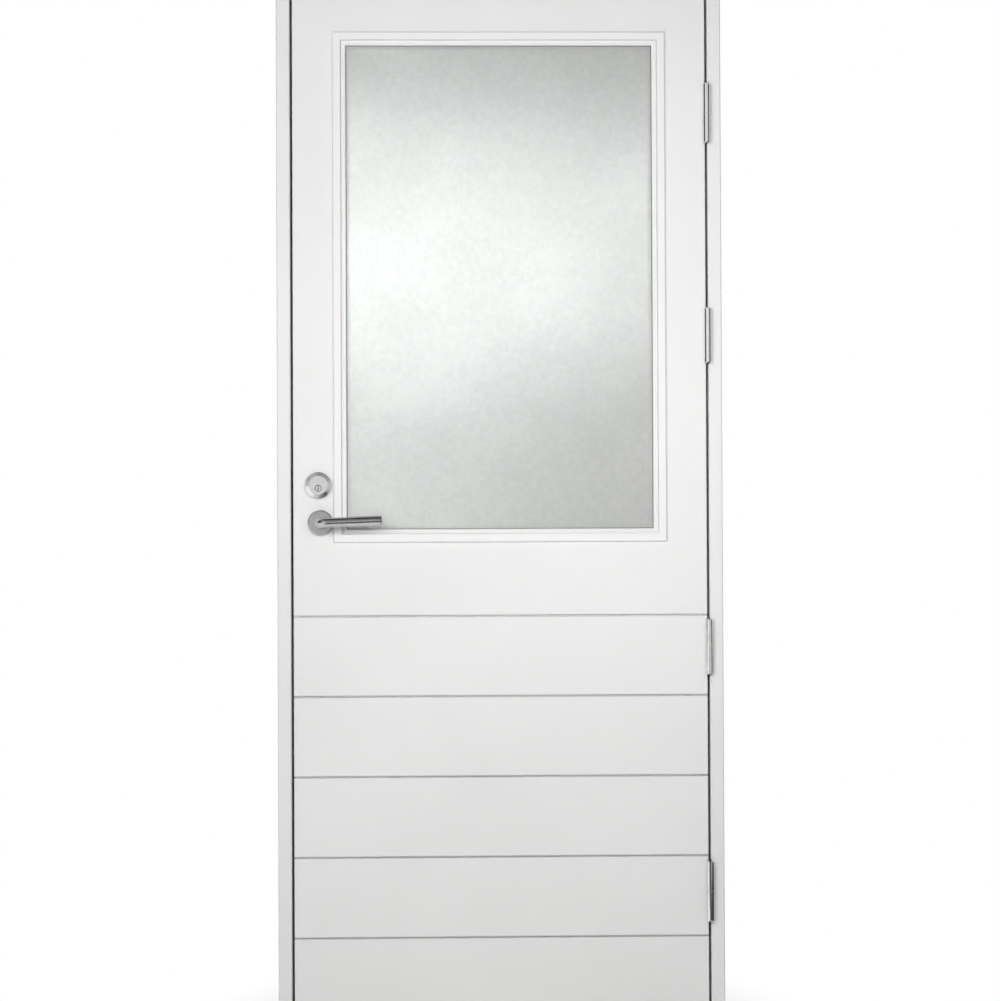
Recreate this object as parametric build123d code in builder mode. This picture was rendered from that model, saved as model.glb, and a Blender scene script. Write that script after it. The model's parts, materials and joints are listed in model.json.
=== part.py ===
"""Balcony door: timber frame, glazed insulated leaf on lift-off hinges, lever handle."""
import os

from build123d import *

# Frame, in millimetres. X runs along the wall, -Y is outdoors, Z is up.
frame_width = 890
frame_height = 2090
frame_depth = 130
jamb_face = 27
jamb_thickness = 45
frame_arris = 2

# Leaf and the clearance around it
leaf_gap = 5
leaf_thickness = 62
sheet_thickness = 10
seal_space = 6
leaf_arris = 1.5
lock_bevel = 3.5
stile_width = 93.5
top_rail_width = 89
rail_width = 93
ledge_height = 20
ledge_fall = 3
threshold_height = 45

# Milled grooves of the outer sheet, the first below the window opening
groove_count = 5
groove_pitch = 160
groove_drop = 158
groove_width = 4.8
groove_floor = 3.5
groove_depth = 8

# Window: height of the opening's lower edge, casing section and glass unit
window_sill = 975
casing_sight = 26.5
casing_lip = 13
casing_proud = 7
casing_step = 16
casing_low = 2.2
casing_nose = 1.5
casing_round = 3
quirk_width = 1.6
quirk_depth = 3
flute_inset = 5.6
flute_width = 2
flute_depth = 1
casing_fit = 0.5
glass_recess = 5
pane_thickness = 4
pane_cover = 10
spacer_width = 16
spacer_depth = 7
spacer_inset = 1

# Seals
kerf_width = 4
kerf_depth = 7
seal_width = 10
seal_clear = 0.3
stem_width = 3.8
stem_depth = 6.5

# Lift-off hinges: lengths, and distances of their middles from the ends of the leaf
end_hinge_length = 120
inner_hinge_length = 111
end_hinge_inset = 240
upper_hinge_drop = 685
lower_hinge_rise = 727
knuckle_radius = 7.5
knuckle_stand = 9
knuckle_chamfer = 2
knuckle_split = 0.5
pin_radius = 4
pin_clear = 0.06
pin_length = 42
pin_room = 0.3
plate_thickness = 3
plate_depth = 32
plate_corner = 8
plate_fit = 0.3
web_overlap = 4

# Lever set and cylinder
lock_backset = 54.5
lever_z = 1001.5
cylinder_backset = 50.5
cylinder_rise = 75
rose_radius = 25.25
rose_height = 8
rose_chamfer = 2
running_fit = 0.1
neck_clear = 1
lever_radius = 9.75
lever_stand = 53.25
lever_bend = 14
lever_reach = 124
lever_rise = 2
lever_chamfer = 1.5
spindle_size = 8
spindle_socket = 20
spindle_bore = 11
ring_radius = 26.25
ring_front = 18.5
ring_height = 11.5
ring_base = 8.5
ring_seat = 4
plug_radius = 5.5
plug_gap = 1.3
plug_drop = 6
plug_depth = 40
plug_sink = 1.2
plug_bore = 7
keyhole_width = 2
keyhole_height = 7.5
keyhole_depth = 16
turn_radius = 7
turn_bore = 8
turn_depth = 20
turn_length = 34
turn_width = 12
turn_height = 16

# Lock in the leaf's edge, and its strike in the jamb
faceplate_length = 235
faceplate_width = 20
faceplate_rise = 18.5
steel_plate = 3
plate_slack = 0.2
latch_rise = 38.5
latch_height = 20
latch_width = 12
latch_length = 22
latch_proud = 0.5
latch_fit = 0.4
strike_length = 190
strike_width = 24
strike_corner = 4
strike_room = 4
strike_pocket = 15

# Fixing holes through the jambs, and the wear plate of the threshold
end_fixing = 180
inner_fixing = 780
fixing_radius = 5.25
cap_radius = 9
cap_depth = 8
wear_width = 48
wear_thickness = 3
wear_ribs = 5
wear_rib_pitch = 8
wear_rib = 1.5
wear_end = 0.5

# Planes and edges that follow from the sizes above
y_face = -frame_depth / 2
y_back = frame_depth / 2
y_leaf = y_face + leaf_thickness
y_mid = (y_face + y_leaf) / 2
y_stop = y_leaf + seal_space
y_core_out = y_face + sheet_thickness
y_core_in = y_leaf - sheet_thickness
frame_half = frame_width / 2
pocket_half = frame_half - jamb_face
stop_half = frame_half - jamb_thickness
leaf_half = pocket_half - leaf_gap
leaf_bottom = ledge_height + leaf_gap
leaf_top = frame_height - jamb_face - leaf_gap
leaf_height = leaf_top - leaf_bottom
head_face = frame_height - jamb_face
head_stop = frame_height - jamb_thickness
cut_top = leaf_top - top_rail_width
cut_half_x = leaf_half - stile_width
cut_half_z = (cut_top - window_sill) / 2
window_z = (cut_top + window_sill) / 2
sight_half_x = cut_half_x + casing_lip - casing_sight
sight_half_z = cut_half_z + casing_lip - casing_sight
pane_out = y_face + glass_recess
pane_in = pane_out + pane_thickness + spacer_width
glass_back = pane_in + pane_thickness
hinge_x = leaf_half + leaf_gap / 2
hinge_y = y_face - knuckle_stand
hinge_axis = Axis((hinge_x, hinge_y, 0), (0, 0, 1))
hinges = {
    "top": (leaf_top - end_hinge_inset, end_hinge_length),
    "upper": (leaf_top - upper_hinge_drop, inner_hinge_length),
    "lower": (leaf_bottom + lower_hinge_rise, inner_hinge_length),
    "bottom": (leaf_bottom + end_hinge_inset, end_hinge_length),
}
lock_x = lock_backset - leaf_half
cylinder_x = cylinder_backset - leaf_half
cylinder_z = lever_z + cylinder_rise
faceplate_z = lever_z + faceplate_rise
latch_z = lever_z + latch_rise
fixing_heights = (
    end_fixing,
    inner_fixing,
    frame_height - inner_fixing,
    frame_height - end_fixing,
)
seal_half_x = (stop_half + leaf_half) / 2
seal_top = (head_stop + leaf_top) / 2
seal_bottom = (leaf_bottom + threshold_height) / 2
stop_middle = (y_stop + y_back) / 2
right = Vector(1, 0, 0)
up = Vector(0, 0, 1)
outdoors = Vector(0, -1, 0)
indoors = Vector(0, 1, 0)
bar_line = right.rotate(Axis.Y, -lever_rise)


def lock_edge(y):
    """X of the leaf's bevelled lock edge at depth y."""
    return -leaf_half + lock_bevel * (y - y_face) / leaf_thickness


faceplate_x = lock_edge(y_mid + faceplate_width / 2)

# Mortises of the hinge plates, open at the face
with BuildSketch() as hinge_mortises:
    for hinge_z, hinge_length in hinges.values():
        with Locations((y_face + (plate_depth - plate_corner) / 2, hinge_z)):
            RectangleRounded(
                plate_depth + plate_corner + 2 * plate_fit,
                hinge_length + 2 * plate_fit,
                plate_corner,
            )

# Strike plate with the latch opening
with BuildSketch() as strike_outline:
    with Locations((y_mid, faceplate_z)):
        RectangleRounded(strike_width, strike_length, strike_corner)
with BuildSketch() as strike_opening:
    with Locations((y_mid, latch_z)):
        Rectangle(latch_width + strike_room, latch_height + strike_room)


def jamb_blank(side):
    """Rebated jamb with its seal kerf and capped fixing holes; side is -1 or 1."""
    with BuildPart() as blank:
        with BuildSketch() as section:
            with BuildLine():
                Polyline(
                    (side * pocket_half, y_face),
                    (side * frame_half, y_face),
                    (side * frame_half, y_back),
                    (side * stop_half, y_back),
                    (side * stop_half, y_stop),
                    (side * pocket_half, y_stop),
                    close=True,
                )
            make_face()
            chamfer(section.vertices().group_by(Axis.Y)[0], frame_arris)
            with Locations((side * seal_half_x, y_stop + kerf_depth / 2)):
                Rectangle(kerf_width, kerf_depth, mode=Mode.SUBTRACT)
        extrude(amount=frame_height)
        with BuildSketch(Plane.YZ.offset(side * stop_half)):
            for height in fixing_heights:
                with Locations((stop_middle, height)):
                    Circle(fixing_radius)
        extrude(amount=side * jamb_thickness, mode=Mode.SUBTRACT)
        with BuildSketch(Plane.YZ.offset(side * stop_half)):
            for height in fixing_heights:
                with Locations((stop_middle, height)):
                    Circle(cap_radius)
        extrude(amount=side * cap_depth, mode=Mode.SUBTRACT)
    return blank.part


with BuildPart() as hinge_jamb:
    add(jamb_blank(1))
    with BuildSketch(Plane.YZ.offset(pocket_half)):
        add(hinge_mortises.sketch)
    extrude(amount=plate_thickness, mode=Mode.SUBTRACT)
hinge_jamb.part.label = "hinge_jamb"

with BuildPart() as lock_jamb:
    add(jamb_blank(-1))
    with BuildSketch(Plane.YZ.offset(-pocket_half)):
        add(strike_outline.sketch)
    extrude(amount=-steel_plate, mode=Mode.SUBTRACT)
    with BuildSketch(Plane.YZ.offset(-pocket_half)):
        add(strike_opening.sketch)
    extrude(amount=-strike_pocket, mode=Mode.SUBTRACT)
lock_jamb.part.label = "lock_jamb"

with BuildPart() as strike_plate:
    with BuildSketch(Plane.YZ.offset(-pocket_half)):
        add(strike_outline.sketch)
        add(strike_opening.sketch, mode=Mode.SUBTRACT)
    extrude(amount=-steel_plate)
strike_plate.part.label = "strike_plate"

with BuildPart() as head:
    with BuildSketch(Plane.YZ):
        with Locations(((y_face + y_stop) / 2, (head_face + frame_height) / 2)):
            Rectangle(y_stop - y_face, jamb_face)
    extrude(amount=pocket_half, both=True)
    with BuildSketch(Plane.YZ):
        with Locations((stop_middle, (head_stop + frame_height) / 2)):
            Rectangle(y_back - y_stop, jamb_thickness)
    extrude(amount=stop_half, both=True)
    with BuildSketch(Plane.YZ):
        with Locations((y_stop + kerf_depth / 2, seal_top)):
            Rectangle(kerf_depth, kerf_width)
    extrude(amount=stop_half, both=True, mode=Mode.SUBTRACT)
head.part.label = "head"

with BuildPart() as threshold:
    with BuildSketch(Plane.YZ):
        with BuildLine():
            Polyline(
                (y_face, 0),
                (y_stop, 0),
                (y_stop, ledge_height),
                (y_face, ledge_height - ledge_fall),
                close=True,
            )
        make_face()
    extrude(amount=pocket_half, both=True)
    with BuildSketch(Plane.YZ):
        with Locations((stop_middle, threshold_height / 2)):
            Rectangle(y_back - y_stop, threshold_height)
    extrude(amount=stop_half, both=True)
    with BuildSketch(Plane.YZ):
        with Locations((y_stop + kerf_depth / 2, seal_bottom)):
            Rectangle(kerf_depth, kerf_width)
    extrude(amount=stop_half, both=True, mode=Mode.SUBTRACT)
threshold.part.label = "threshold"

with BuildPart() as threshold_plate:
    with BuildSketch(Plane.YZ):
        with Locations((stop_middle, threshold_height + wear_thickness / 2)):
            Rectangle(wear_width, wear_thickness)
        with Locations((stop_middle, threshold_height + wear_thickness)):
            with GridLocations(wear_rib_pitch, 1, wear_ribs, 1):
                Circle(wear_rib)
    extrude(amount=stop_half - wear_end, both=True)
threshold_plate.part.label = "threshold_plate"


def seal_side(label, middle, outward, half, stem_half):
    """Bulb seal with mitred ends, its stem in the kerf of the stop."""
    section_plane = Plane(middle, x_dir=outward, z_dir=outward.cross(outdoors))
    with BuildPart() as seal:
        with BuildSketch(section_plane):
            with BuildLine():
                bulb = ThreePointArc(
                    (-seal_width / 2, 0), (0, seal_space - seal_clear), (seal_width / 2, 0)
                )
                Line(bulb @ 1, bulb @ 0)
            make_face()
        extrude(amount=half + seal_width, both=True)
        with BuildSketch(Plane(middle, x_dir=outward, z_dir=outdoors)):
            with BuildLine():
                Polyline(
                    (-seal_width, half - seal_width),
                    (seal_width, half + seal_width),
                    (seal_width, -half - seal_width),
                    (-seal_width, seal_width - half),
                    close=True,
                )
            make_face()
        extrude(amount=seal_space, mode=Mode.INTERSECT)
        with BuildSketch(section_plane):
            with Locations((0, -stem_depth / 2)):
                Rectangle(stem_width, stem_depth)
        extrude(amount=stem_half, both=True)
    seal.part.label = label
    return seal


seal_middle = (seal_top + seal_bottom) / 2
seal_half_z = (seal_top - seal_bottom) / 2
seals = [
    seal_side(
        "hinge_seal",
        Vector(seal_half_x, y_stop, seal_middle),
        right,
        seal_half_z,
        seal_half_z - seal_width,
    ),
    seal_side(
        "lock_seal",
        Vector(-seal_half_x, y_stop, seal_middle),
        -right,
        seal_half_z,
        seal_half_z - seal_width,
    ),
    seal_side("head_seal", Vector(0, y_stop, seal_top), up, seal_half_x, stop_half - wear_end),
    seal_side(
        "threshold_seal", Vector(0, y_stop, seal_bottom), -up, seal_half_x, stop_half - wear_end
    ),
]

# Leaf
with BuildPart() as outer_sheet:
    with BuildSketch(Plane.XY.offset(leaf_bottom)) as sheet_section:
        with BuildLine():
            Polyline(
                (lock_edge(y_face), y_face),
                (leaf_half, y_face),
                (leaf_half, y_core_out),
                (lock_edge(y_core_out), y_core_out),
                close=True,
            )
        make_face()
        chamfer(sheet_section.vertices().group_by(Axis.Y)[0], leaf_arris)
    extrude(amount=leaf_height)
    with BuildSketch(Plane.XZ.offset(-y_face)):
        with Locations((0, window_z)):
            Rectangle(2 * cut_half_x, 2 * cut_half_z)
        with Locations((lock_x, lever_z)):
            Circle(spindle_bore)
        with Locations((cylinder_x, cylinder_z - plug_drop)):
            Circle(plug_bore)
    extrude(amount=-sheet_thickness, mode=Mode.SUBTRACT)
    with BuildSketch(Plane.YZ):
        for number in range(groove_count):
            groove_top = window_sill - groove_drop - number * groove_pitch
            with BuildLine():
                Polyline(
                    (y_face, groove_top),
                    (y_face + groove_depth, groove_top),
                    (y_face + groove_depth, groove_top - groove_floor),
                    (y_face, groove_top - groove_width),
                    close=True,
                )
            make_face()
    extrude(amount=frame_half, both=True, mode=Mode.SUBTRACT)
    with BuildSketch(Plane.YZ.offset(leaf_half)):
        add(hinge_mortises.sketch)
    extrude(amount=-plate_thickness, mode=Mode.SUBTRACT)
outer_sheet.part.label = "outer_sheet"

with BuildPart() as inner_sheet:
    with BuildSketch(Plane.XY.offset(leaf_bottom)):
        with BuildLine():
            Polyline(
                (lock_edge(y_core_in), y_core_in),
                (leaf_half, y_core_in),
                (leaf_half, y_leaf),
                (lock_edge(y_leaf), y_leaf),
                close=True,
            )
        make_face()
    extrude(amount=leaf_height)
    with BuildSketch(Plane.XZ.offset(-y_leaf)):
        with Locations((0, window_z)):
            Rectangle(2 * cut_half_x, 2 * cut_half_z)
        with Locations((lock_x, lever_z)):
            Circle(spindle_bore)
        with Locations((cylinder_x, cylinder_z)):
            Circle(turn_bore)
    extrude(amount=sheet_thickness, mode=Mode.SUBTRACT)
inner_sheet.part.label = "inner_sheet"

with BuildPart() as lock_stile:
    with BuildSketch(Plane.XY.offset(leaf_bottom)):
        with BuildLine():
            Polyline(
                (lock_edge(y_core_out), y_core_out),
                (-cut_half_x, y_core_out),
                (-cut_half_x, y_core_in),
                (lock_edge(y_core_in), y_core_in),
                close=True,
            )
        make_face()
    extrude(amount=leaf_height)
    with BuildSketch(Plane.XZ.offset(-y_mid)):
        with Locations((lock_x, lever_z)):
            Circle(spindle_bore)
        with Locations((cylinder_x, cylinder_z)):
            Circle(spindle_bore + plug_drop)
    extrude(amount=leaf_thickness, both=True, mode=Mode.SUBTRACT)
    with BuildSketch(Plane.YZ.offset(faceplate_x + steel_plate)):
        with Locations((y_mid, faceplate_z)):
            SlotOverall(
                faceplate_length + 2 * plate_slack, faceplate_width + 2 * plate_slack, rotation=90
            )
    extrude(amount=-2 * steel_plate, mode=Mode.SUBTRACT)
    with BuildSketch(Plane.YZ.offset(faceplate_x)):
        with Locations((y_mid, latch_z)):
            Rectangle(latch_width + 2 * latch_fit, latch_height + 2 * latch_fit)
    extrude(amount=latch_length, mode=Mode.SUBTRACT)
lock_stile.part.label = "lock_stile"

with BuildPart() as hinge_stile:
    with BuildSketch(Plane.XY.offset(leaf_bottom)):
        with Locations(((cut_half_x + leaf_half) / 2, y_mid)):
            Rectangle(leaf_half - cut_half_x, y_core_in - y_core_out)
    extrude(amount=leaf_height)
    with BuildSketch(Plane.YZ.offset(leaf_half)):
        add(hinge_mortises.sketch)
    extrude(amount=-plate_thickness, mode=Mode.SUBTRACT)
hinge_stile.part.label = "hinge_stile"


def rail(label, bottom, top):
    """Rail between the stiles."""
    with BuildPart() as piece:
        with BuildSketch(Plane.XY.offset(bottom)):
            with Locations((0, y_mid)):
                Rectangle(2 * cut_half_x, y_core_in - y_core_out)
        extrude(amount=top - bottom)
    piece.part.label = label
    return piece


rails = [
    rail("top_rail", cut_top, leaf_top),
    rail("middle_rail", window_sill - rail_width, window_sill),
    rail("bottom_rail", leaf_bottom, leaf_bottom + rail_width),
]


def casing_side(label, outward, face_y, out, recess):
    """One mitred side of a window casing, from the glass to its lip over the sheet."""
    reach = sight_half_x if outward.X else sight_half_z
    half = sight_half_z if outward.X else sight_half_x
    middle = Vector(0, face_y, window_z) + outward * reach
    step = casing_sight - casing_step
    body = casing_sight - casing_lip - casing_fit
    with BuildPart() as side:
        with BuildSketch(Plane(middle, x_dir=outward, z_dir=outward.cross(out))) as section:
            with BuildLine():
                Polyline(
                    (0, -recess),
                    (0, 0),
                    (casing_nose, casing_low),
                    (flute_inset - flute_width / 2, casing_low),
                    (flute_inset, casing_low - flute_depth),
                    (flute_inset + flute_width / 2, casing_low),
                    (step - quirk_width, casing_low),
                    (step - quirk_width, casing_low - quirk_depth),
                    (step, casing_low - quirk_depth),
                    (step, casing_proud),
                    (casing_sight, casing_proud),
                    (casing_sight, 0),
                    (body, 0),
                    (body, -recess),
                    close=True,
                )
            make_face()
            fillet(section.vertices().group_by(Axis.X)[-1].sort_by(Axis.Y)[-1], casing_round)
        extrude(amount=half + casing_sight, both=True)
        with BuildSketch(Plane(middle, x_dir=outward, z_dir=out)):
            with BuildLine():
                Polyline(
                    (0, half),
                    (casing_sight, half + casing_sight),
                    (casing_sight, -half - casing_sight),
                    (0, -half),
                    close=True,
                )
            make_face()
        extrude(amount=leaf_thickness, both=True, mode=Mode.INTERSECT)
    side.part.label = label
    return side


casings = []
for place, outward in {"top": up, "bottom": -up, "lock_side": -right, "hinge_side": right}.items():
    casings.append(casing_side(f"outer_casing_{place}", outward, y_face, outdoors, glass_recess))
    casings.append(
        casing_side(f"inner_casing_{place}", outward, y_leaf, indoors, y_leaf - glass_back)
    )


def pane(label, front):
    """Sheet of glass whose outer face is at depth front."""
    with BuildPart() as sheet:
        with BuildSketch(Plane.XZ.offset(-front)):
            with Locations((0, window_z)):
                Rectangle(2 * (sight_half_x + pane_cover), 2 * (sight_half_z + pane_cover))
        extrude(amount=-pane_thickness)
    sheet.part.label = label
    return sheet


panes = [pane("outer_pane", pane_out), pane("inner_pane", pane_in)]

with BuildPart() as pane_spacer:
    with BuildSketch(Plane.XZ.offset(-pane_out - pane_thickness)):
        with Locations((0, window_z)):
            Rectangle(
                2 * (sight_half_x + spacer_inset + spacer_depth),
                2 * (sight_half_z + spacer_inset + spacer_depth),
            )
            Rectangle(
                2 * (sight_half_x + spacer_inset),
                2 * (sight_half_z + spacer_inset),
                mode=Mode.SUBTRACT,
            )
    extrude(amount=-spacer_width)
pane_spacer.part.label = "pane_spacer"


# Hinges
def hinge_plate(centre, length, web_bottom, web_top):
    """Plate outline in depth and height, with the web that joins it to its knuckle."""
    web = knuckle_stand - web_overlap
    with BuildSketch() as outline:
        with Locations((y_face + (plate_depth - plate_corner) / 2, centre)):
            RectangleRounded(plate_depth + plate_corner, length, plate_corner)
        with Locations((y_face - plate_corner, centre)):
            Rectangle(2 * plate_corner, length, mode=Mode.SUBTRACT)
        with Locations((y_face - web / 2, (web_bottom + web_top) / 2)):
            Rectangle(web, web_top - web_bottom)
    return outline.sketch


def frame_half_of(name, centre, length):
    """Lower half: knuckle with the pin, and the plate let into the jamb."""
    low = centre - length / 2
    split = centre - knuckle_split
    with BuildPart() as half:
        with BuildSketch(Plane((hinge_x, hinge_y, 0), x_dir=right, z_dir=outdoors)) as section:
            with BuildLine():
                Polyline(
                    (0, low),
                    (knuckle_radius, low),
                    (knuckle_radius, split),
                    (pin_radius, split),
                    (pin_radius, centre + pin_length),
                    (0, centre + pin_length),
                    close=True,
                )
            make_face()
            chamfer(section.vertices().group_by(Axis.Y)[0].sort_by(Axis.X)[-1], knuckle_chamfer)
        revolve(axis=hinge_axis)
        with BuildSketch(Plane.YZ.offset(pocket_half)):
            add(hinge_plate(centre, length, low + knuckle_chamfer, split))
        extrude(amount=plate_thickness)
    half.part.label = f"{name}_hinge_frame_half"
    return half


def leaf_half_of(name, centre, length):
    """Upper half: knuckle over the pin, and the plate let into the leaf's edge."""
    high = centre + length / 2
    split = centre + knuckle_split
    bore = pin_radius + pin_clear
    with BuildPart() as half:
        with BuildSketch(Plane((hinge_x, hinge_y, 0), x_dir=right, z_dir=outdoors)) as section:
            with BuildLine():
                Polyline(
                    (bore, split),
                    (knuckle_radius, split),
                    (knuckle_radius, high),
                    (0, high),
                    (0, centre + pin_length + pin_room),
                    (bore, centre + pin_length + pin_room),
                    close=True,
                )
            make_face()
            chamfer(section.vertices().group_by(Axis.Y)[-1].sort_by(Axis.X)[-1], knuckle_chamfer)
        revolve(axis=hinge_axis)
        with BuildSketch(Plane.YZ.offset(leaf_half)):
            add(hinge_plate(centre, length, split, high - knuckle_chamfer))
        extrude(amount=-plate_thickness)
    half.part.label = f"{name}_hinge_leaf_half"
    return half


hinge_halves = []
for name, (hinge_z, hinge_length) in hinges.items():
    hinge_halves.append(frame_half_of(name, hinge_z, hinge_length))
    hinge_halves.append(leaf_half_of(name, hinge_z, hinge_length))


# Lever set
def rose(label, middle, out, bore):
    """Round rose on a face of the leaf, bored for a neck."""
    with BuildPart() as disc:
        with BuildSketch(Plane(middle, x_dir=right, z_dir=out)):
            Circle(rose_radius)
            Circle(bore + running_fit, mode=Mode.SUBTRACT)
        extrude(amount=rose_height)
        rims = disc.edges().filter_by(GeomType.CIRCLE).sort_by(Axis(middle, out))[-2:]
        chamfer(rims.sort_by(SortBy.RADIUS)[-1], rose_chamfer)
    disc.part.label = label
    return disc


def lever(label, face_y, out):
    """Round bar bent from its neck into the grip, with a socket for the spindle."""
    foot = Vector(lock_x, face_y, lever_z) + out * neck_clear
    elbow = Vector(lock_x, face_y, lever_z) + out * lever_stand
    neck_plane = Plane(foot, x_dir=right, z_dir=out)
    with BuildPart() as handle:
        with BuildLine():
            FilletPolyline(foot, elbow, elbow + bar_line * lever_reach, radius=lever_bend)
        with BuildSketch(neck_plane):
            Circle(lever_radius)
        sweep()
        chamfer(handle.edges().filter_by(GeomType.CIRCLE).sort_by(Axis.X)[-1], lever_chamfer)
        with BuildSketch(neck_plane):
            Rectangle(spindle_size, spindle_size)
        extrude(amount=spindle_socket, mode=Mode.SUBTRACT)
    handle.part.label = label
    return handle


levers = [
    rose("outer_rose", Vector(lock_x, y_face, lever_z), outdoors, lever_radius),
    rose("inner_rose", Vector(lock_x, y_leaf, lever_z), indoors, lever_radius),
    rose("turn_rose", Vector(cylinder_x, y_leaf, cylinder_z), indoors, turn_radius),
    lever("outer_lever", y_face, outdoors),
    lever("inner_lever", y_leaf, indoors),
]

with BuildPart() as spindle:
    with BuildSketch(Plane.XZ.offset(-y_mid)):
        with Locations((lock_x, lever_z)):
            Rectangle(spindle_size, spindle_size)
    extrude(amount=leaf_thickness / 2 + neck_clear + spindle_socket, both=True)
spindle.part.label = "spindle"

# Cylinder outdoors, thumb-turn indoors
with BuildPart() as cylinder_ring:
    with BuildSketch(Plane((cylinder_x, y_face, cylinder_z), x_dir=right, z_dir=-up)):
        with BuildLine():
            Polyline(
                (0, 0),
                (ring_radius, 0),
                (ring_radius, ring_base),
                (ring_front, ring_height),
                (0, ring_height),
                close=True,
            )
        make_face()
    revolve(axis=Axis((cylinder_x, y_face, cylinder_z), outdoors))
    with BuildSketch(Plane.XZ.offset(-y_face)):
        with Locations((cylinder_x, cylinder_z - plug_drop)):
            Circle(plug_radius + running_fit)
    extrude(amount=ring_height, mode=Mode.SUBTRACT)
    with BuildSketch(Plane.XZ.offset(ring_seat - y_face)):
        with Locations((cylinder_x, cylinder_z - plug_drop)):
            Circle(plug_radius + plug_gap)
    extrude(amount=ring_height, mode=Mode.SUBTRACT)
cylinder_ring.part.label = "cylinder_ring"

with BuildPart() as cylinder_plug:
    plug_front = Plane.XZ.offset(ring_height - plug_sink - y_face)
    with BuildSketch(plug_front):
        with Locations((cylinder_x, cylinder_z - plug_drop)):
            Circle(plug_radius)
    extrude(amount=-plug_depth)
    with BuildSketch(plug_front):
        with Locations((cylinder_x, cylinder_z - plug_drop)):
            Rectangle(keyhole_width, keyhole_height)
    extrude(amount=-keyhole_depth, mode=Mode.SUBTRACT)
cylinder_plug.part.label = "cylinder_plug"

with BuildPart() as thumb_turn:
    turn_foot = Plane((cylinder_x, y_leaf, cylinder_z), x_dir=right, z_dir=indoors)
    with BuildSketch(turn_foot.offset(-turn_depth)):
        Circle(turn_radius)
    extrude(amount=turn_depth + rose_height + neck_clear)
    with BuildSketch(turn_foot.offset(rose_height + neck_clear)):
        SlotOverall(turn_length, turn_width, rotation=90)
    extrude(amount=turn_height)
thumb_turn.part.label = "thumb_turn"

with BuildPart() as lock_faceplate:
    with BuildSketch(Plane.YZ.offset(faceplate_x)):
        with Locations((y_mid, faceplate_z)):
            SlotOverall(faceplate_length, faceplate_width, rotation=90)
        with Locations((y_mid, latch_z)):
            Rectangle(
                latch_width + 2 * latch_fit, latch_height + 2 * latch_fit, mode=Mode.SUBTRACT
            )
    extrude(amount=steel_plate)
lock_faceplate.part.label = "lock_faceplate"

with BuildPart() as latch_bolt:
    with BuildSketch(Plane.YZ.offset(faceplate_x - latch_proud)):
        with Locations((y_mid, latch_z)):
            Rectangle(latch_width, latch_height)
    extrude(amount=latch_length)
latch_bolt.part.label = "latch_bolt"

os.makedirs("parts", exist_ok=True)
singles = [
    hinge_jamb,
    lock_jamb,
    strike_plate,
    head,
    threshold,
    threshold_plate,
    outer_sheet,
    inner_sheet,
    lock_stile,
    hinge_stile,
    pane_spacer,
    spindle,
    cylinder_ring,
    cylinder_plug,
    thumb_turn,
    lock_faceplate,
    latch_bolt,
]
for piece in singles + seals + rails + casings + panes + hinge_halves + levers:
    export_step(piece.part, f"parts/{piece.part.label}.step")
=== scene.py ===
"""Balcony door: finishes, gaskets, small fasteners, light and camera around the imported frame."""
import json
import math

import bmesh
import bpy
from mathutils import Matrix, Vector


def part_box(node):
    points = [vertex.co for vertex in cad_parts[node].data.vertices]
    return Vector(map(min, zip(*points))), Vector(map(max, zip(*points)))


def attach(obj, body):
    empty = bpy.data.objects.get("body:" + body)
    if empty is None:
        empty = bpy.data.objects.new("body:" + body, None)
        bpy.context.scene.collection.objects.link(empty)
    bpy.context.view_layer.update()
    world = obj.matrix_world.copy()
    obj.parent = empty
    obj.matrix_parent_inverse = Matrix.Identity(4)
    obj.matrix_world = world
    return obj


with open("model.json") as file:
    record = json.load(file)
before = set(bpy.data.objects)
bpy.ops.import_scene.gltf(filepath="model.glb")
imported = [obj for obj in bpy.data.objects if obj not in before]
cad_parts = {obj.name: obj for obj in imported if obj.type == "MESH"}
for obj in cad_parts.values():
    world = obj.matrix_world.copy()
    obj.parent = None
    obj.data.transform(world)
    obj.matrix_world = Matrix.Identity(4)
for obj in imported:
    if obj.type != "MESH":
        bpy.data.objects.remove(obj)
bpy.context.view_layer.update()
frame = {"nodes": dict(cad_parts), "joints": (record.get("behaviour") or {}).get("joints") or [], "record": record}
nodes = frame["nodes"]
scene = bpy.context.scene
scene.view_settings.view_transform = "Standard"

MM = 0.001
OUTDOORS = Vector((0, -1, 0))
INDOORS = Vector((0, 1, 0))
RIGHT = Vector((1, 0, 0))
UP = Vector((0, 0, 1))
NEARLY_UP = 0.9
WHITE = (1, 1, 1, 1)

# Camera, fitted to the door's edges in a frame of 1000 by 1001 pixels
IMAGE_HEIGHT = 1001
SENSOR = 36.0
CAMERA_PLACE = Vector((-0.0902, -4.5, 0.9947))
CAMERA_PITCH = math.radians(0.647)
CAMERA_YAW = math.radians(1.156)
CAMERA_ROLL = math.radians(-0.245)
FOCAL_PIXELS = 2221.6

# Light levels: shares of the light that shows white as white
AMBIENT = 0.22
STUDIO_HORIZON = 1.0
STUDIO_FRONT = 0.4
STUDIO_DARK = 0.05

# Studio that metal reflects: the steps of the direction between which its level changes
WALL_RISE = (0.16, 0.34)
CEILING_RISE = (0.72, 0.9)
FLAG_ASIDE = (0.55, 0.85)
MIDDLE_ASIDE = (0.06, 0.2)
MIDDLE_SHARE = 0.62
SIDE_X = (-0.1, 0.3)
SIDE_SHARES = (1.15, 0.85)
BEHIND_Y = (-0.1, 0.3)

HINGE_NAMES = ("top", "upper", "lower", "bottom")


# Node materials

GRAIN_UP = (1, 1, 0.03)
GRAIN_ACROSS = (0.03, 1, 1)


def new_material(name):
    """A node material and its Principled shader."""
    material = bpy.data.materials.new(name)
    material.use_nodes = True
    return material, material.node_tree.nodes["Principled BSDF"]


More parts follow.
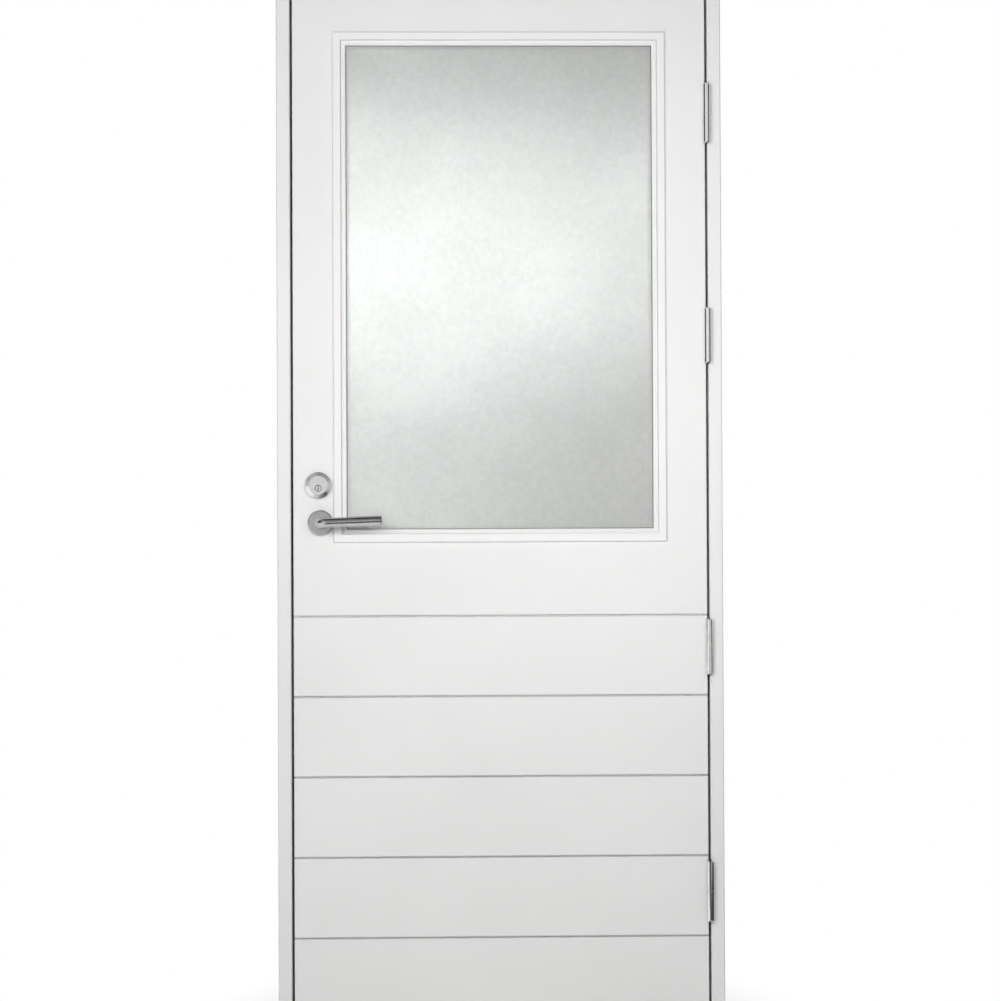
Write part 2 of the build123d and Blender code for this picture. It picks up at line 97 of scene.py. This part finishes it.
def add_node(tree, kind, inputs=None, **settings):
    """A new node of the tree; inputs are values or the sockets that feed them."""
    node = tree.nodes.new("ShaderNode" + kind)
    for key, value in settings.items():
        setattr(node, key, value)
    for key, value in (inputs or {}).items():
        if isinstance(value, bpy.types.NodeSocket):
            tree.links.new(value, node.inputs[key])
        else:
            node.inputs[key].default_value = value
    return node


def place_texture(tree, stretch=(1, 1, 1), shift=(0, 0, 0)):
    """The object's own coordinates, stretched and then shifted."""
    coordinates = add_node(tree, "TexCoord")
    inputs = {"Vector": coordinates.outputs["Object"], "Scale": stretch, "Location": shift}
    return add_node(tree, "Mapping", inputs).outputs["Vector"]


def noise(tree, vector, scale, detail=2.0, roughness=0.5):
    """The grey output of a noise texture."""
    inputs = {"Vector": vector, "Scale": scale, "Detail": detail, "Roughness": roughness}
    return add_node(tree, "TexNoise", inputs).outputs["Fac"]


def spread(tree, value, low, high, start=0.3, end=0.7):
    """The value between start and end, spread from low to high."""
    inputs = {"Value": value, "From Min": start, "From Max": end, "To Min": low, "To Max": high}
    return add_node(tree, "MapRange", inputs).outputs["Result"]


def combine(tree, operation, first, second):
    """The result of a sum, product or the like of two values."""
    return add_node(tree, "Math", {0: first, 1: second}, operation=operation).outputs[0]


def length(tree, vector):
    """The length of a vector."""
    return add_node(tree, "VectorMath", {0: vector}, operation="LENGTH").outputs["Value"]


def blend_shaders(tree, factor, first, second):
    """A shader between two others."""
    return add_node(tree, "MixShader", {0: factor, 1: first, 2: second}).outputs[0]


def blend_colours(tree, factor, dark, light):
    """A colour between dark and light."""
    node = add_node(tree, "Mix", {"Factor": factor}, data_type="RGBA")
    for socket, colour in (("A_Color", dark), ("B_Color", light)):
        found = next(s for s in node.inputs if s.identifier == socket)
        found.default_value = (*colour, 1)
    return next(s for s in node.outputs if s.identifier == "Result_Color")


def bump(tree, height, distance, strength=1.0, under=None):
    """A bumped normal, over another one where given."""
    inputs = {"Height": height, "Distance": distance, "Strength": strength}
    if under is not None:
        inputs["Normal"] = under
    return add_node(tree, "Bump", inputs).outputs["Normal"]


def feed(tree, shader, **sockets):
    """Links sockets, or sets constants, on the shader's inputs."""
    for key, value in sockets.items():
        name = key.replace("_", " ")
        if isinstance(value, bpy.types.NodeSocket):
            tree.links.new(value, shader.inputs[name])
        else:
            shader.inputs[name].default_value = value


def paint(name, dark, light, gloss, grain_stretch, grain_depth):
    """Satin white paint: cloudy tone, fine peel and faint strokes along the grain."""
    material, shader = new_material(name)
    tree = material.node_tree
    plain = place_texture(tree)
    along = place_texture(tree, grain_stretch)
    cloud = spread(tree, noise(tree, plain, scale=3.0, detail=4.0), 0, 1)
    strokes = noise(tree, along, scale=120.0, detail=3.0, roughness=0.6)
    peel = noise(tree, plain, scale=700.0)
    wear = noise(tree, plain, scale=25.0, detail=3.0)
    grain = bump(tree, strokes, grain_depth)
    feed(
        tree, shader,
        Base_Color=blend_colours(tree, cloud, dark, light),
        Roughness=spread(tree, wear, *gloss),
        Normal=bump(tree, peel, distance=0.03 * MM, strength=0.6, under=grain),
    )
    return material


def rubber(name, dark, light):
    """Matt rubber with a dusty tone."""
    material, shader = new_material(name)
    tree = material.node_tree
    plain = place_texture(tree)
    dust = noise(tree, plain, scale=180.0, detail=4.0, roughness=0.65)
    feed(
        tree, shader,
        Base_Color=blend_colours(tree, spread(tree, dust, 0, 1), dark, light),
        Roughness=spread(tree, dust, low=0.55, high=0.75),
        Normal=bump(tree, dust, distance=0.05 * MM),
        Specular_IOR_Level=0.35,
    )
    return material


def metal(name, dark, light, gloss, stretch, scale, depth):
    """Metal with fine streaks along its brushing."""
    material, shader = new_material(name)
    tree = material.node_tree
    along = place_texture(tree, stretch)
    plain = place_texture(tree)
    streaks = noise(tree, along, scale, detail=5.0, roughness=0.7)
    stains = noise(tree, plain, scale=45.0, detail=3.0, roughness=0.6)
    feed(
        tree, shader,
        Base_Color=blend_colours(tree, spread(tree, stains, 0, 1), dark, light),
        Metallic=1.0,
        Roughness=spread(tree, streaks, *gloss),
        Normal=bump(tree, streaks, depth),
    )
    return material


def obscured_glass():
    """Frosted glass with a fine mottle that lets soft light through."""
    material, shader = new_material("obscured_glass")
    tree = material.node_tree
    plain = place_texture(tree)
    mottle = noise(tree, plain, scale=90.0, detail=4.0, roughness=0.6)
    cloud = noise(tree, plain, scale=6.0, detail=3.0)
    tone = spread(tree, combine(tree, "ADD", mottle, cloud), 0, 1, start=0.78, end=1.22)
    feed(
        tree, shader,
        Base_Color=blend_colours(tree, tone, (0.56, 0.569, 0.557), (0.65, 0.659, 0.647)),
        Roughness=spread(tree, mottle, low=0.29, high=0.33),
        Transmission_Weight=0.45,
        IOR=1.8,
        Specular_IOR_Level=0.8,
    )
    return material


def clear_glass():
    """Clear float glass with a faint green body."""
    material, shader = new_material("clear_glass")
    tree = material.node_tree
    plain = place_texture(tree)
    wave = noise(tree, plain, scale=8.0)
    feed(
        tree, shader,
        Base_Color=blend_colours(tree, wave, (0.9, 0.94, 0.915), (0.94, 0.965, 0.95)),
        Roughness=spread(tree, wave, low=0.02, high=0.05),
        Transmission_Weight=0.95,
        IOR=1.5,
    )
    return material


def hardwood():
    """Oiled hardwood: rings and pores drawn out along the sill."""
    material, shader = new_material("hardwood")
    tree = material.node_tree
    along = place_texture(tree, stretch=(0.05, 1, 1))
    drift = noise(tree, along, scale=20.0, detail=4.0, roughness=0.6)
    rings = add_node(
        tree, "TexWave", {"Vector": along, "Scale": 32.0, "Distortion": 6.0, "Detail": 3.0},
        bands_direction="Z",
    ).outputs["Fac"]
    pores = noise(tree, place_texture(tree, GRAIN_ACROSS), scale=900.0)
    figure = spread(tree, combine(tree, "ADD", rings, drift), 0, 1, start=0.4, end=1.5)
    feed(
        tree, shader,
        Base_Color=blend_colours(tree, figure, (0.21, 0.105, 0.05), (0.36, 0.2, 0.1)),
        Roughness=spread(tree, pores, low=0.4, high=0.6),
        Normal=bump(tree, pores, distance=0.15 * MM, strength=0.8),
    )
    return material


finishes = {
    "frame_paint": paint(
        "frame_paint", (0.80, 0.80, 0.795), (0.84, 0.84, 0.835),
        gloss=(0.37, 0.48), grain_stretch=GRAIN_UP, grain_depth=0.05 * MM,
    ),
    "leaf_paint": paint(
        "leaf_paint", (0.81, 0.81, 0.805), (0.85, 0.85, 0.845),
        gloss=(0.39, 0.5), grain_stretch=GRAIN_UP, grain_depth=0.03 * MM,
    ),
    "casing_white": paint(
        "casing_white", (0.83, 0.83, 0.825), (0.87, 0.87, 0.865),
        gloss=(0.29, 0.4), grain_stretch=GRAIN_UP, grain_depth=0.02 * MM,
    ),
    "obscured_glass": obscured_glass(),
    "clear_glass": clear_glass(),
    "aluminium": metal(
        "aluminium", (0.66, 0.66, 0.67), (0.78, 0.78, 0.79),
        gloss=(0.28, 0.45), stretch=GRAIN_ACROSS, scale=700.0, depth=0.03 * MM,
    ),
    "hardwood": hardwood(),
    "seal_rubber": rubber("seal_rubber", (0.018, 0.018, 0.019), (0.045, 0.045, 0.047)),
    "hinge_steel": metal(
        "hinge_steel", (0.74, 0.74, 0.74), (0.84, 0.84, 0.83),
        gloss=(0.1, 0.17), stretch=GRAIN_UP, scale=500.0, depth=0.005 * MM,
    ),
    "handle_steel": metal(
        "handle_steel", (0.48, 0.48, 0.475), (0.56, 0.56, 0.555),
        gloss=(0.2, 0.26), stretch=GRAIN_ACROSS, scale=900.0, depth=0.004 * MM,
    ),
    "cylinder_chrome": metal(
        "cylinder_chrome", (0.86, 0.86, 0.865), (0.92, 0.92, 0.925),
        gloss=(0.22, 0.28), stretch=(1, 1, 1), scale=800.0, depth=0.004 * MM,
    ),
    "lock_steel": metal(
        "lock_steel", (0.5, 0.5, 0.5), (0.62, 0.62, 0.62),
        gloss=(0.22, 0.36), stretch=GRAIN_UP, scale=600.0, depth=0.015 * MM,
    ),
}

for row in frame["record"]["subparts"]:
    slots = nodes[row["node"]].data.materials
    slots.clear()
    slots.append(finishes[row["material_slot"]])


# Mesh helpers

SMOOTH_ANGLE = 35
GASKET_SMOOTH_ANGLE = 60


def finish_piece(mesh_builder, name, body, slot, smooth_angle=SMOOTH_ANGLE):
    """Turns a bmesh into a piece that rides on a body with the finish of a slot."""
    bmesh.ops.recalc_face_normals(mesh_builder, faces=mesh_builder.faces)
    mesh = bpy.data.meshes.new(name)
    mesh_builder.to_mesh(mesh)
    mesh_builder.free()
    mesh.materials.append(finishes[slot])
    mesh.shade_smooth()
    mesh.set_sharp_from_angle(angle=math.radians(smooth_angle))
    piece = bpy.data.objects.new(name, mesh)
    scene.collection.objects.link(piece)
    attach(piece, body)
    return piece


def axes_of(normal):
    """Two directions across a normal."""
    helper = UP if abs(normal.z) < NEARLY_UP else RIGHT
    across = helper.cross(normal).normalized()
    return across, normal.cross(across)


def lathe(builder, centre, normal, profile, segments):
    """Revolves (radius, height) points about a normal; they end on it or close a loop."""
    across, along = axes_of(normal)
    rings = []
    for radius, height in profile:
        middle = centre + normal * height
        if radius == 0:
            rings.append([builder.verts.new(middle)])
            continue
        ring = []
        for step in range(segments):
            turn = 2 * math.pi * step / segments
            offset = across * math.cos(turn) + along * math.sin(turn)
            ring.append(builder.verts.new(middle + offset * radius))
        rings.append(ring)
    for lower, upper in zip(rings, rings[1:]):
        for step in range(segments):
            after = (step + 1) % segments
            corners = [lower[step % len(lower)], lower[after % len(lower)],
                       upper[after % len(upper)], upper[step % len(upper)]]
            builder.faces.new(list(dict.fromkeys(corners)))


# Screws with a raised head and a cross recess
SCREW_SIDES = 24
SCREW_RISE = 0.7 * MM
SCREW_CROWN = 0.78
FIRST_TURN = 0.7
NEXT_TURN = 1.9
CROSS_ARM = 0.56
CROSS_HALF = 0.13
CROSS_TAPER = 0.8
CROSS_FLOOR = 0.05 * MM


def screw(builder, centre, normal, radius, turn):
    """A countersunk screw head that stands a little proud, with a cross recess."""
    across, along = axes_of(normal)
    spin = Matrix.Rotation(turn, 3, normal)
    across = spin @ across
    along = spin @ along
    foot = []
    crown = []
    for step in range(SCREW_SIDES):
        angle = 2 * math.pi * step / SCREW_SIDES
        offset = across * math.cos(angle) + along * math.sin(angle)
        offset *= radius
        foot.append(builder.verts.new(centre + offset))
        crown.append(builder.verts.new(centre + offset * SCREW_CROWN + normal * SCREW_RISE))
    arm = CROSS_ARM * radius
    half = CROSS_HALF * radius
    quarter = [(arm, -half), (arm, half), (half, half)]
    outline = []
    for corner in range(4):
        facing = Matrix.Rotation(corner * math.pi / 2, 2)
        outline += [facing @ Vector(point) for point in quarter]
    mouth = []
    floor = []
    for point in outline:
        offset = across * point.x + along * point.y
        mouth.append(builder.verts.new(centre + offset + normal * SCREW_RISE))
        floor.append(builder.verts.new(centre + offset * CROSS_TAPER + normal * CROSS_FLOOR))
    for ring_a, ring_b in ((foot, crown), (mouth, floor)):
        count = len(ring_a)
        for step in range(count):
            after = (step + 1) % count
            builder.faces.new((ring_a[step], ring_a[after], ring_b[after], ring_b[step]))
    builder.faces.new(floor)
    border = []
    for ring in (crown, mouth):
        border += [builder.edges.get(ends) for ends in zip(ring, ring[1:] + ring[:1])]
    bmesh.ops.triangle_fill(builder, edges=border, use_beauty=True, normal=normal)


def screws(name, body, slot, places, normal, radius):
    """One piece with a screw at each place, each turned differently."""
    builder = bmesh.new()
    for number, place in enumerate(places):
        screw(builder, place, normal, radius, FIRST_TURN + NEXT_TURN * number)
    return finish_piece(builder, name, body, slot)


# Hinge screws, on the leaf's edge and on the jamb
PLATE_MIDDLE = 18 * MM
PLATE_STAGGER = 6 * MM
HINGE_SCREW_SPACE = 40 * MM
HINGE_SCREW = 4.2 * MM

face_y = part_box("outer_sheet")[0].y
leaf_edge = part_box("outer_sheet")[1].x
hinge_joint = next(j for j in frame["joints"] if j["name"] == "door_swing")
pocket = 2 * hinge_joint["pos_m"][0] - leaf_edge

for hinge in HINGE_NAMES:
    low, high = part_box(f"{hinge}_hinge_leaf_half")
    middle = (low.z + high.z) / 2
    for body, edge, normal in (("leaf", leaf_edge, RIGHT), ("frame", pocket, -RIGHT)):
        places = []
        for step in (-1, 0, 1):
            shift = PLATE_STAGGER if step == 0 else -PLATE_STAGGER
            height = middle + step * HINGE_SCREW_SPACE
            places.append(Vector((edge, face_y + PLATE_MIDDLE + shift, height)))
        screws(f"{hinge}_hinge_{body}_screws", body, "hinge_steel", places, normal, HINGE_SCREW)

# Lock and strike screws
LOCK_SCREW = 3.8 * MM
LOCK_SCREW_END = 11 * MM
for name, plate, body, normal in (
    ("faceplate_screws", "lock_faceplate", "leaf", -RIGHT),
    ("strike_screws", "strike_plate", "frame", RIGHT),
):
    low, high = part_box(plate)
    front_x = low.x if normal.x < 0 else high.x
    middle_y = (low.y + high.y) / 2
    heights = (low.z + LOCK_SCREW_END, high.z - LOCK_SCREW_END)
    places = [Vector((front_x, middle_y, height)) for height in heights]
    screws(name, body, "lock_steel", places, normal, LOCK_SCREW)

# Screws of the wear plate, between its ribs
WEAR_SCREWS = 5
WEAR_SCREW = 2.4 * MM
WEAR_SCREW_END = 60 * MM
WEAR_SCREW_SHIFT = 4 * MM
WEAR_THICKNESS = 3 * MM
wear_low, wear_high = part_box("threshold_plate")
wear_top = wear_low.z + WEAR_THICKNESS
wear_step = (wear_high.x - wear_low.x - 2 * WEAR_SCREW_END) / (WEAR_SCREWS - 1)
wear_y = (wear_low.y + wear_high.y) / 2 + WEAR_SCREW_SHIFT
wear_start = wear_low.x + WEAR_SCREW_END
places = [Vector((wear_start + n * wear_step, wear_y, wear_top)) for n in range(WEAR_SCREWS)]
screws("wear_plate_screws", "frame", "aluminium", places, UP, WEAR_SCREW)

# Caps over the frame's fixing screws: radii and heights in millimetres
CAP_PROFILE = ((0, 0.9), (4.5, 0.8), (7.6, 0.45), (8.7, -0.2), (8.7, -2.5), (0, -2.5))
CAP_SIDES = 40
jambs = {"hinge_jamb": -RIGHT, "lock_jamb": RIGHT}
fixings = [m for m in frame["record"]["mounts"] if m["kind"] == "bolt_pattern"]
cap_profile = [(radius * MM, height * MM) for radius, height in CAP_PROFILE]
for jamb, normal in jambs.items():
    low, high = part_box(jamb)
    stop_x = low.x if normal.x < 0 else high.x
    builder = bmesh.new()
    for mount in fixings:
        if mount["axis"][0] * normal.x > 0:
            continue
        half = mount["dims"]["spacing_y_mm"] * MM / 2
        for side in (-1, 1):
            place = Vector((stop_x, mount["pos_m"][1], mount["pos_m"][2] + side * half))
            lathe(builder, place, normal, cap_profile, CAP_SIDES)
    finish_piece(builder, f"{jamb}_caps", "frame", "casing_white")

# Glazing gaskets between casing and glass, mitred at the corners
GASKET_WIDTH = 0.8 * MM
GASKET_PROUD = 1.6 * MM
GASKET_BACK = 0.6 * MM
GASKET_LIP = ((0.35, 1), (0.75, 0.75), (1, 0.15), (1, 0))


def gasket(name, pane, casing, outward):
    """A soft lip that runs round the sight edge of a casing, against the glass."""
    half_x = -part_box(f"{casing}_casing_lock_side")[1].x
    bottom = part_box(f"{casing}_casing_bottom")[1].z
    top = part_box(f"{casing}_casing_top")[0].z
    pane_low, pane_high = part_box(pane)
    glass_y = pane_low.y if outward.y < 0 else pane_high.y
    profile = [(-GASKET_BACK, 0), (-GASKET_BACK, GASKET_PROUD)]
    profile += [(GASKET_WIDTH * across, GASKET_PROUD * proud) for across, proud in GASKET_LIP]
    corners = ((-1, bottom, 1), (1, bottom, 1), (1, top, -1), (-1, top, -1))
    builder = bmesh.new()
    loops = []
    for side, height, inward in corners:
        loop = []
        for across, proud in profile:
            x = side * (half_x - across)
            y = glass_y + outward.y * proud
            loop.append(builder.verts.new((x, y, height + inward * across)))
        loops.append(loop)
    for number, loop in enumerate(loops):
        following = loops[(number + 1) % len(loops)]
        for step in range(len(profile)):
            after = (step + 1) % len(profile)
            builder.faces.new((loop[step], loop[after], following[after], following[step]))
    return finish_piece(builder, name, "leaf", "seal_rubber", GASKET_SMOOTH_ANGLE)


gasket("outer_glazing_gasket", "outer_pane", "outer", OUTDOORS)
gasket("inner_glazing_gasket", "inner_pane", "inner", INDOORS)

# Painted shade: black sheets sunk into the gap round the cylinder's plug and into its keyway, standing in for the
# shade deep inside them
SHADE_SINK = 0.3 * MM
SHADE_BACK = 5 * MM
SHADE_CLEAR = 0.05 * MM
PLUG_GAP = 1.3 * MM
KEYWAY_HALF = Vector((0.95 * MM, 0, 3.7 * MM))
SHADE_SIDES = 48
SHADE_WELD = SHADE_CLEAR / 10

plug_low, plug_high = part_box("cylinder_plug")
plug_front = (plug_low + plug_high) / 2
plug_front.y = plug_low.y
plug_radius = (plug_high.x - plug_low.x) / 2
inner = plug_radius + SHADE_CLEAR
outer = plug_radius + PLUG_GAP - SHADE_CLEAR
section = [
    (inner, -SHADE_BACK), (outer, -SHADE_BACK), (outer, -SHADE_SINK), (inner, -SHADE_SINK),
    (inner, -SHADE_BACK),
]
builder = bmesh.new()
lathe(builder, plug_front, OUTDOORS, section, SHADE_SIDES)
bmesh.ops.remove_doubles(builder, verts=builder.verts, dist=SHADE_WELD)
for vert in bmesh.ops.create_cube(builder, size=2)["verts"]:
    depth = SHADE_SINK if vert.co.y < 0 else SHADE_BACK
    vert.co = plug_front + Vector((vert.co.x * KEYWAY_HALF.x, depth, vert.co.z * KEYWAY_HALF.z))
# The black rubber finish paints the shade of the plug gap and keyway
finish_piece(builder, "cylinder_painted_shade", "leaf", "seal_rubber")


# Floor, light and camera

FLOOR_HALF = 14.0
FLOOR_FADE = (0.4, 0.62)
FLOOR_WHITES = (0.65, 1)
FLOOR_TONE = (0.93, 0.93, 0.925, 1)

# Floor card that metal reflects: its levels, and the places between which they change
FLOOR_CARD = 1.0
CARD_FAR_RIGHT = 0.55
CARD_NEAR_Y = (-1.5, -1.1)
CARD_FAR_Y = (-1.75, -1.45)
CARD_LEFT_X = (-1.1, -0.8)
CARD_MIDDLE_X = (-0.05, 0.2)
CARD_RIGHT_X = (0.7, 1.1)

# Bright patches behind the glass, each with its place along X and Z from the middle of the
# plane that holds them, half width, half height and level; the core is the share of a patch
# that keeps its full level, and the edge is the level of the bare plane
GLOW_REACH = 2.3
GLOW_PLACE = (-0.58, 2.0, 1.84)
GLOW_PATCHES = ((0, 0, 2.3, 0.65, 8.5), (-0.7, -0.9, 2.2, 1.2, 3.8))
GLOW_CORE = 0.2
GLOW_EDGE = 0.4


def make_floor():
    """A pale floor that keeps the shadow near the door and runs out into white."""
    builder = bmesh.new()
    bmesh.ops.create_grid(builder, x_segments=8, y_segments=8, size=FLOOR_HALF)
    mesh = bpy.data.meshes.new("floor")
    builder.to_mesh(mesh)
    builder.free()
    floor = bpy.data.objects.new("floor", mesh)
    scene.collection.objects.link(floor)
    material, shader = new_material("floor_white")
    tree = material.node_tree
    feed(tree, shader, Base_Color=FLOOR_TONE, Roughness=0.9, Specular_IOR_Level=0.1)
    place = place_texture(tree)
    path = add_node(tree, "LightPath")
    fade = spread(tree, length(tree, place), *FLOOR_WHITES, *FLOOR_FADE)
    fade = combine(tree, "MULTIPLY", fade, path.outputs["Is Camera Ray"])
    white = add_node(tree, "Emission", {"Color": WHITE, "Strength": 1.0}).outputs[0]
    axes = add_node(tree, "SeparateXYZ", {0: place})
    along, ahead = axes.outputs["X"], axes.outputs["Y"]
    near = spread(tree, ahead, STUDIO_DARK, FLOOR_CARD, *CARD_NEAR_Y)
    far_right = spread(tree, ahead, CARD_FAR_RIGHT, STUDIO_DARK, *CARD_FAR_Y)
    level = spread(tree, along, near, STUDIO_DARK, *CARD_MIDDLE_X)
    level = spread(tree, along, level, far_right, *CARD_RIGHT_X)
    level = spread(tree, along, FLOOR_CARD, level, *CARD_LEFT_X)
    card = add_node(tree, "Emission", {"Color": WHITE, "Strength": level}).outputs[0]
    seen = blend_shaders(tree, fade, shader.outputs[0], white)
    mixed = blend_shaders(tree, path.outputs["Is Glossy Ray"], seen, card)
    output = next(n for n in tree.nodes if n.type == "OUTPUT_MATERIAL")
    tree.links.new(mixed, output.inputs["Surface"])
    mesh.materials.append(material)


def make_glow():
    """A soft bright patch behind the door, which only glass lets through."""
    builder = bmesh.new()
    bmesh.ops.create_grid(builder, x_segments=1, y_segments=1, size=GLOW_REACH)
    bmesh.ops.rotate(builder, verts=builder.verts, matrix=Matrix.Rotation(math.pi / 2, 3, "X"))
    mesh = bpy.data.meshes.new("glow")
    builder.to_mesh(mesh)
    builder.free()
    glow = bpy.data.objects.new("glow", mesh)
    glow.location = GLOW_PLACE
    scene.collection.objects.link(glow)
    material = bpy.data.materials.new("glow_white")
    material.use_nodes = True
    tree = material.node_tree
    tree.nodes.clear()
    level = GLOW_EDGE
    for x, z, half_width, half_height, peak in GLOW_PATCHES:
        shape = place_texture(
            tree, (1 / half_width, 0, 1 / half_height), (-x / half_width, 0, -z / half_height)
        )
        reach = length(tree, shape)
        patch = add_node(
            tree, "MapRange",
            {"Value": reach, "From Min": GLOW_CORE, "From Max": 1, "To Min": peak, "To Max": 0},
            interpolation_type="SMOOTHERSTEP",
        ).outputs["Result"]
        level = combine(tree, "ADD", level, patch)
    light = add_node(tree, "Emission", {"Color": WHITE, "Strength": level}).outputs[0]
    tree.links.new(light, add_node(tree, "OutputMaterial").inputs["Surface"])
    mesh.materials.append(material)
    for ray in ("camera", "diffuse", "glossy", "volume_scatter", "shadow"):
        setattr(glow, f"visible_{ray}", False)


def make_world():
    """Soft ambient light, white to the eye and through glass, and a studio that metal reflects."""
    world = bpy.data.worlds.new("studio")
    world.use_nodes = True
    scene.world = world
    tree = world.node_tree
    tree.nodes.clear()
    path = add_node(tree, "LightPath")
    ambient = add_node(tree, "Background", {"Color": WHITE, "Strength": AMBIENT}).outputs[0]
    white = add_node(tree, "Background", {"Color": WHITE, "Strength": 1.0}).outputs[0]
    towards = add_node(tree, "SeparateXYZ", {0: add_node(tree, "TexCoord").outputs["Generated"]})
    across, rise = towards.outputs["X"], towards.outputs["Z"]
    aside = add_node(tree, "Math", {0: across}, operation="ABSOLUTE").outputs[0]
    level = spread(tree, rise, STUDIO_HORIZON, STUDIO_FRONT, *WALL_RISE)
    for share in (
        spread(tree, rise, 1, STUDIO_DARK, *CEILING_RISE),
        spread(tree, aside, 1, STUDIO_DARK, *FLAG_ASIDE),
        spread(tree, across, *SIDE_SHARES, *SIDE_X),
        spread(tree, aside, MIDDLE_SHARE, 1, *MIDDLE_ASIDE),
    ):
        level = combine(tree, "MULTIPLY", level, share)
    behind = spread(tree, towards.outputs["Y"], 0, 1, *BEHIND_Y)
    level = combine(tree, "MAXIMUM", level, behind)
    studio = add_node(tree, "Background", {"Color": WHITE, "Strength": level}).outputs[0]
    open_view = combine(
        tree, "MAXIMUM", path.outputs["Is Camera Ray"], path.outputs["Is Transmission Ray"]
    )
    lit = blend_shaders(tree, open_view, ambient, white)
    mirrored = blend_shaders(tree, path.outputs["Is Glossy Ray"], lit, studio)
    output = add_node(tree, "OutputWorld")
    tree.links.new(mirrored, output.inputs["Surface"])


def softbox(name, place, target, width, height, share):
    """An area lamp that gives the target its share of full white, unseen in metal and glass."""
    lamp = bpy.data.lights.new(name, "AREA")
    lamp.shape = "RECTANGLE"
    lamp.size = width
    lamp.size_y = height
    aim = Vector(target) - Vector(place)
    lamp.energy = share * math.pi ** 2 * aim.length_squared
    holder = bpy.data.objects.new(name, lamp)
    scene.collection.objects.link(holder)
    holder.location = place
    holder.rotation_euler = aim.to_track_quat("-Z", "Y").to_euler()
    for ray in ("camera", "glossy", "transmission"):
        setattr(holder, f"visible_{ray}", False)


def make_camera():
    """The camera at the fitted place."""
    data = bpy.data.cameras.new("camera")
    data.sensor_width = SENSOR
    data.lens = FOCAL_PIXELS * SENSOR / IMAGE_HEIGHT
    camera = bpy.data.objects.new("camera", data)
    scene.collection.objects.link(camera)
    turn = Matrix.Rotation(-CAMERA_YAW, 4, "Z")
    tilt = Matrix.Rotation(math.pi / 2 + CAMERA_PITCH, 4, "X")
    roll = Matrix.Rotation(CAMERA_ROLL, 4, "Z")
    camera.matrix_world = Matrix.Translation(CAMERA_PLACE) @ turn @ tilt @ roll
    scene.camera = camera


make_floor()
make_glow()
make_world()
softbox("key", (-1.3, -3.2, 1.75), target=(0.3, 0, 1.2), width=1.2, height=0.9, share=0.3)
softbox("front", (0.22, -1.6, 1.36), target=(0.22, 0, 1.36), width=1.0, height=0.5, share=0.5)
softbox("overhead", (0, 0.3, 4.4), target=(0, 0.3, 0), width=3.0, height=2.0, share=0.1)
softbox("rear", (0.7, 3.2, 1.5), target=(0, 0, 1.1), width=1.8, height=1.8, share=0.55)
make_camera()
